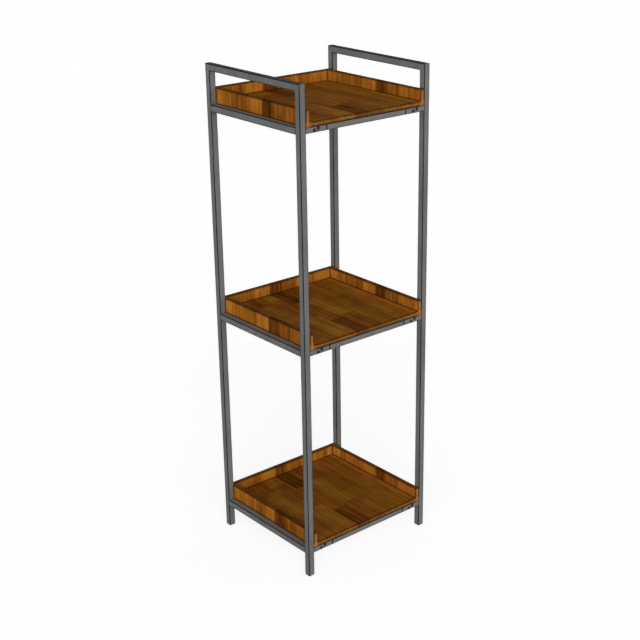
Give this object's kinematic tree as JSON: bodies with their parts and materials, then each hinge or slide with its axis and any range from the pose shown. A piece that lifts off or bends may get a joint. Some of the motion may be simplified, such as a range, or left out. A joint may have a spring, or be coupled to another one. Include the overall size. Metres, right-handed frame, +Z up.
{
  "type": "over-washer shelving unit",
  "caption": "Tall open shelving tower: square tube side frames, spliced cross rails and wooden trays with raised lips on the sides and back, spaced for laundry machines.",
  "frame": {"origin": "on the floor, at the middle of the footprint", "axes": "+Z up, -Y is the open front of the trays, X is the width"},
  "size_m": [0.7, 0.63, 2.2],
  "materials": {
    "frame_paint": "matte",
    "tray_wood": "oiled",
    "screw_steel": "blackened",
    "sleeve_steel": "blackened",
    "plug_plastic": "matte"
  },
  "bodies": {
    "root": {"foot_plugs": "plug_plastic", "leg_back_left": "frame_paint", "leg_back_right": "frame_paint", "leg_front_left": "frame_paint", "leg_front_right": "frame_paint", "lower_back_rail": "frame_paint", "lower_back_sleeve_left": "sleeve_steel", "lower_back_sleeve_right": "sleeve_steel", "lower_back_stub_left": "frame_paint", "lower_back_stub_right": "frame_paint", "lower_front_rail": "frame_paint", "lower_front_sleeve_left": "sleeve_steel", "lower_front_sleeve_right": "sleeve_steel", "lower_front_stub_left": "frame_paint", "lower_front_stub_right": "frame_paint", "lower_lip_back": "tray_wood", "lower_lip_left": "tray_wood", "lower_lip_right": "tray_wood", "lower_panel": "tray_wood", "lower_side_rail_left": "frame_paint", "lower_side_rail_right": "frame_paint", "middle_back_rail": "frame_paint", "middle_back_sleeve_left": "sleeve_steel", "middle_back_sleeve_right": "sleeve_steel", "middle_back_stub_left": "frame_paint", "middle_back_stub_right": "frame_paint", "middle_front_rail": "frame_paint", "middle_front_sleeve_left": "sleeve_steel", "middle_front_sleeve_right": "sleeve_steel", "middle_front_stub_left": "frame_paint", "middle_front_stub_right": "frame_paint", "middle_lip_back": "tray_wood", "middle_lip_left": "tray_wood", "middle_lip_right": "tray_wood", "middle_panel": "tray_wood", "middle_side_rail_left": "frame_paint", "middle_side_rail_right": "frame_paint", "splice_screws": "screw_steel", "top_bar_left": "frame_paint", "top_bar_right": "frame_paint", "tray_screws": "screw_steel", "upper_back_rail": "frame_paint", "upper_back_sleeve_left": "sleeve_steel", "upper_back_sleeve_right": "sleeve_steel", "upper_back_stub_left": "frame_paint", "upper_back_stub_right": "frame_paint", "upper_front_rail": "frame_paint", "upper_front_sleeve_left": "sleeve_steel", "upper_front_sleeve_right": "sleeve_steel", "upper_front_stub_left": "frame_paint", "upper_front_stub_right": "frame_paint", "upper_lip_back": "tray_wood", "upper_lip_left": "tray_wood", "upper_lip_right": "tray_wood", "upper_panel": "tray_wood", "upper_side_rail_left": "frame_paint", "upper_side_rail_right": "frame_paint"}
  },
  "joints": []
}
